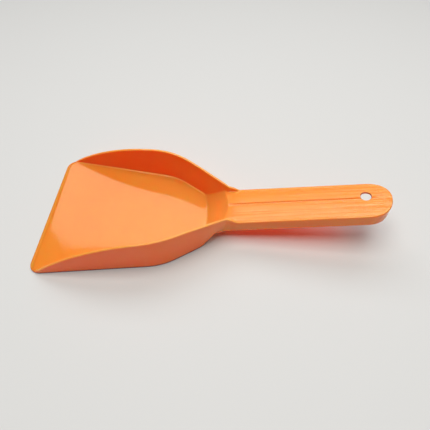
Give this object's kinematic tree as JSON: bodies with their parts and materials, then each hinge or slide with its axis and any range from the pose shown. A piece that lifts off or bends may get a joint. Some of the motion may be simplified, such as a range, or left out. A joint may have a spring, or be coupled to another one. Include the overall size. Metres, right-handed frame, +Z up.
{
  "type": "hand scoop",
  "caption": "One-piece plastic hand scoop: flat pan with rising side walls, bowed back ramp, and an open channel handle with a hanging hole.",
  "frame": {"origin": "under the middle of the scoop, on the surface it stands on", "axes": "+X from the front lip to the end of the handle, +Y to the left side, +Z up"},
  "size_m": [0.27, 0.1096, 0.0446],
  "materials": {
    "orange_plastic": "glossy moulded polypropylene, solid orange, smooth with faint flow lines and fine scuffs"
  },
  "bodies": {
    "root": {"pan_floor": "orange_plastic", "left_side_wall": "orange_plastic", "right_side_wall": "orange_plastic", "back_ramp": "orange_plastic", "handle_deck": "orange_plastic", "handle_skirt": "orange_plastic"}
  },
  "joints": []
}
